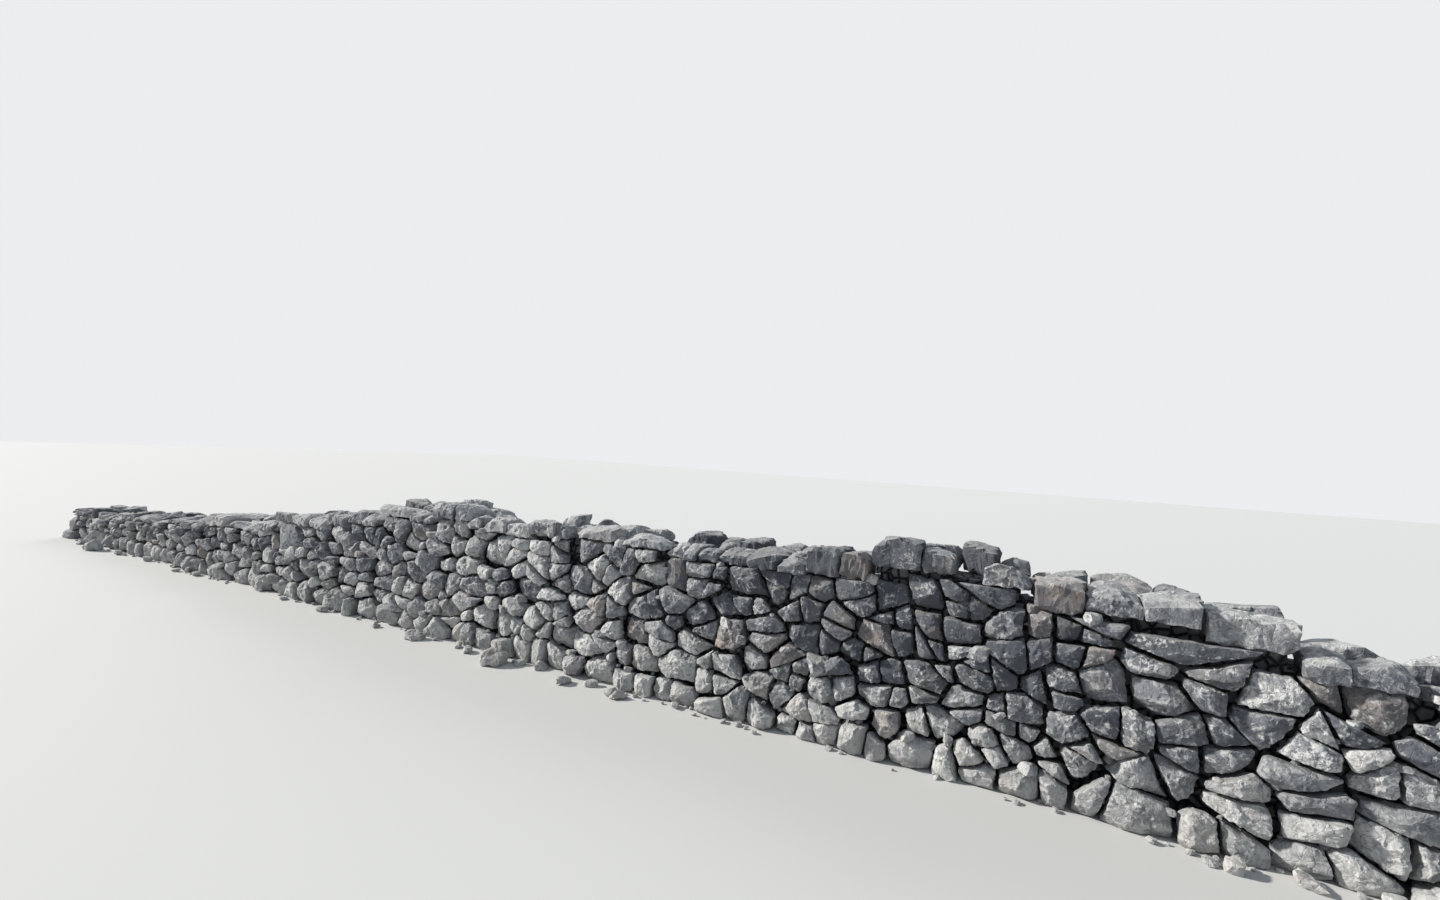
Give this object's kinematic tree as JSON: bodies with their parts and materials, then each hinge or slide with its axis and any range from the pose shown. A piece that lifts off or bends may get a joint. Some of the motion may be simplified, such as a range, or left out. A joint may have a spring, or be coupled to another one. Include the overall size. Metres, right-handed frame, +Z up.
{
  "type": "dry stone wall",
  "caption": "Low roadside wall of random rubble laid without mortar: two leaves of face stones on a rubble core, larger footing stones below, loose capping above, falling away at one end.",
  "frame": {"origin": "middle of the length, on the centre line, at ground level", "axes": "+X along the wall towards its built end, -Y towards the road, +Z up"},
  "size_m": [12.695, 0.9683, 1.1937],
  "materials": {
    "face_stone": "rough weathered limestone, mid grey with pale bloom",
    "footing_stone": "rough weathered limestone, slightly dustier",
    "capping_stone": "rough weathered limestone, paler on top",
    "fallen_stone": "rough limestone with a fresh, paler, faintly pink face",
    "rubble": "small packed rubble, in shade"
  },
  "bodies": {
    "root": {"footing_1": "footing_stone", "footing_2": "footing_stone", "footing_3": "footing_stone", "footing_4": "footing_stone", "footing_5": "footing_stone", "footing_6": "footing_stone", "hearting_1": "rubble", "hearting_2": "rubble", "hearting_3": "rubble", "hearting_4": "rubble", "hearting_5": "rubble", "hearting_6": "rubble", "road_face_1": "face_stone", "road_face_2": "face_stone", "road_face_3": "face_stone", "road_face_4": "face_stone", "road_face_5": "face_stone", "road_face_6": "face_stone", "field_face_1": "face_stone", "field_face_2": "face_stone", "field_face_3": "face_stone", "field_face_4": "face_stone", "field_face_5": "face_stone", "field_face_6": "face_stone", "capping_1": "capping_stone", "capping_2": "capping_stone", "capping_3": "capping_stone", "capping_4": "capping_stone", "capping_5": "capping_stone", "capping_6": "capping_stone", "built_end": "face_stone", "ruined_end": "face_stone", "fallen_stones": "fallen_stone"}
  },
  "joints": []
}
